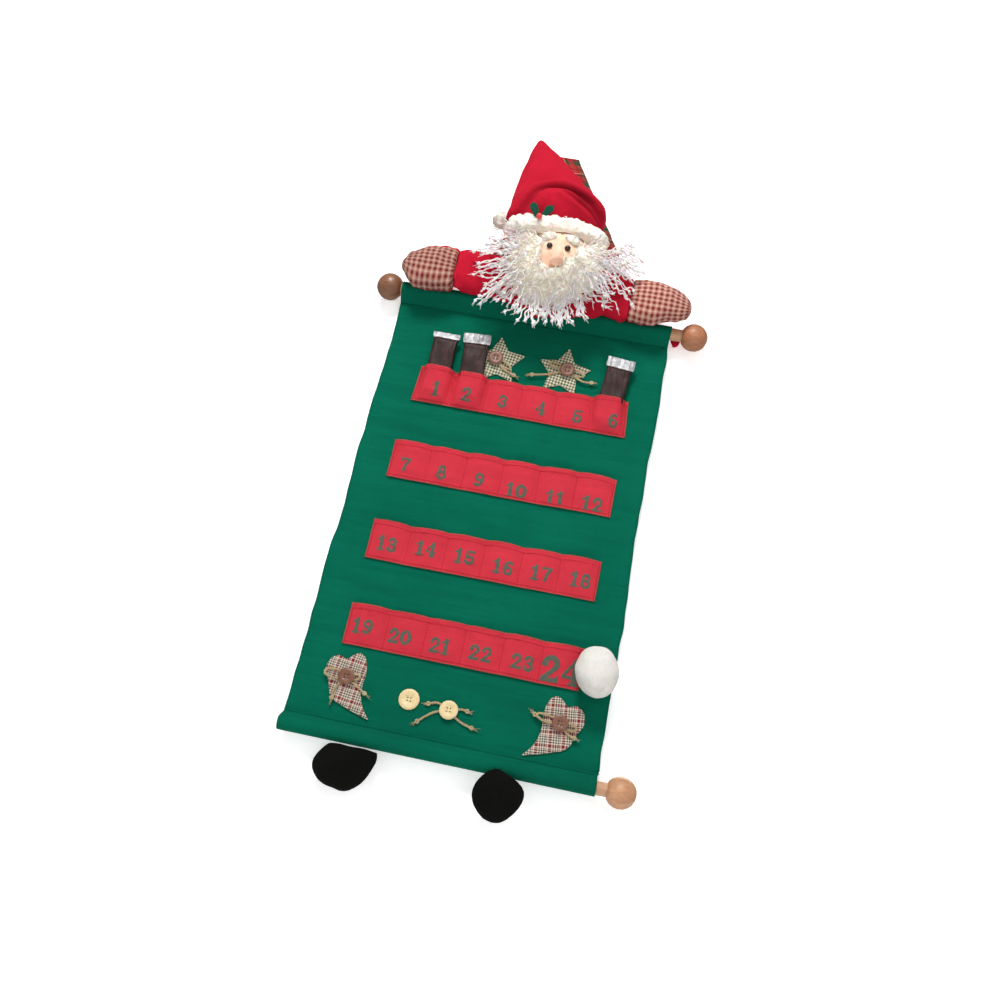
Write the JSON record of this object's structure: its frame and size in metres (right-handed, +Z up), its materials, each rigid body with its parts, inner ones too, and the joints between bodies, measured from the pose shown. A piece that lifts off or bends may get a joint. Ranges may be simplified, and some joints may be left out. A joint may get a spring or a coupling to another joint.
{
  "type": "hanging advent calendar",
  "caption": "Hanging cloth countdown calendar with rows of pockets between two wooden rods, held by a stuffed bearded doll in a pointed hat, with a ribbon to hang it by.",
  "frame": {"origin": "the crotch of the ribbon, where the nail carries the calendar; the banner's top edge is 156.6 mm below it and its back lies in y = 0", "axes": "+X to the viewer's right along the rods, +Y towards the wall, +Z up; the front faces -Y"},
  "size_m": [0.3513, 0.0937, 0.726],
  "materials": {
    "green_cloth": "matte felt-like cloth",
    "red_cloth": "matte woven cotton",
    "crimson_cloth": "matte flannel",
    "tartan_ribbon": "woven ribbon",
    "turned_wood": "satin, bare turned wood",
    "doll_skin": "matte knit",
    "white_fleece": "curly pile",
    "white_yarn": "matte knotted yarn",
    "black_bead": "glossy",
    "plaid_cloth": "woven plaid",
    "check_cloth": "woven check",
    "black_felt": "matte pile",
    "green_felt": "matte felt",
    "red_bead": "satin",
    "brown_button": "satin",
    "cream_button": "satin",
    "jute_twine": "rough twisted fibre",
    "foil_wrapper": "crinkled glossy film",
    "white_plush": "short plush"
  },
  "bodies": {
    "calendar": {"banner": "green_cloth", "pocket_row_1": "red_cloth", "pocket_row_2": "red_cloth", "pocket_row_3": "red_cloth", "pocket_row_4": "red_cloth", "hanging_ribbon": "tartan_ribbon", "doll_trunk": "crimson_cloth", "doll_arm_left": "crimson_cloth", "doll_arm_right": "crimson_cloth", "doll_mitten_left": "plaid_cloth", "doll_mitten_right": "plaid_cloth", "doll_head": "doll_skin", "doll_nose": "doll_skin", "doll_eye_left": "black_bead", "doll_eye_right": "black_bead", "doll_brow_left": "white_fleece", "doll_brow_right": "white_fleece", "hat": "crimson_cloth", "hat_brim": "white_fleece", "holly_leaf_left": "green_felt", "holly_leaf_right": "green_felt", "holly_berry": "red_bead", "doll_beard": "white_yarn", "doll_hair_left": "white_yarn", "doll_hair_right": "white_yarn", "star_left": "check_cloth", "star_right": "check_cloth", "heart_left": "plaid_cloth", "heart_right": "plaid_cloth", "star_left_button": "brown_button", "star_right_button": "brown_button", "heart_left_button": "brown_button", "heart_right_button": "brown_button", "star_left_twine": "jute_twine", "star_right_twine": "jute_twine", "heart_left_twine": "jute_twine", "heart_right_twine": "jute_twine", "plain_button": "cream_button", "tied_button": "cream_button", "tied_button_twine": "jute_twine", "marker_dot": "white_plush"},
    "top_rod": {"top_rod": "turned_wood", "top_ball_left": "turned_wood", "top_ball_right": "turned_wood"},
    "bottom_rod": {"bottom_rod": "turned_wood", "bottom_ball_right": "turned_wood"},
    "boot_left": {"boot_left": "black_felt"},
    "boot_right": {"boot_right": "black_felt"},
    "treat_bar_1": {"treat_bar_1": "foil_wrapper"},
    "treat_bar_2": {"treat_bar_2": "foil_wrapper"},
    "treat_bar_3": {"treat_bar_3": "foil_wrapper"},
    "marker": {"marker_ball": "white_plush"}
  },
  "joints": [
    {"name": "top_rod_slide", "type": "slide", "parent": "calendar", "child": "top_rod", "axis": [1, 0, 0], "range_m": [-0.011, 0.0014]},
    {"name": "bottom_rod_slide", "type": "slide", "parent": "calendar", "child": "bottom_rod", "axis": [1, 0, 0], "range_m": [-0.0095, 0.03]},
    {"name": "boot_left_swing", "type": "hinge", "parent": "calendar", "child": "boot_left", "pos_m": [-0.07653, -0.008, -0.63873], "axis": [1, 0, 0], "range_deg": [-40, 40]},
    {"name": "boot_right_swing", "type": "hinge", "parent": "calendar", "child": "boot_right", "pos_m": [0.05645, -0.0182, -0.63113], "axis": [1, 0, 0], "range_deg": [-60, 0]},
    {"name": "treat_bar_1_slide", "type": "slide", "parent": "calendar", "child": "treat_bar_1", "axis": [0, -0.0698, 0.9976], "range_m": [0, 0.03]},
    {"name": "treat_bar_2_slide", "type": "slide", "parent": "calendar", "child": "treat_bar_2", "axis": [-0.0609, -0.0698, 0.9957], "range_m": [0, 0.03]},
    {"name": "treat_bar_3_slide", "type": "slide", "parent": "calendar", "child": "treat_bar_3", "axis": [0.0869, -0.0698, 0.9938], "range_m": [0, 0.03]},
    {"name": "marker_pull", "type": "slide", "parent": "calendar", "child": "marker", "axis": [0, -1, 0], "range_m": [0, 0.06]}
  ]
}
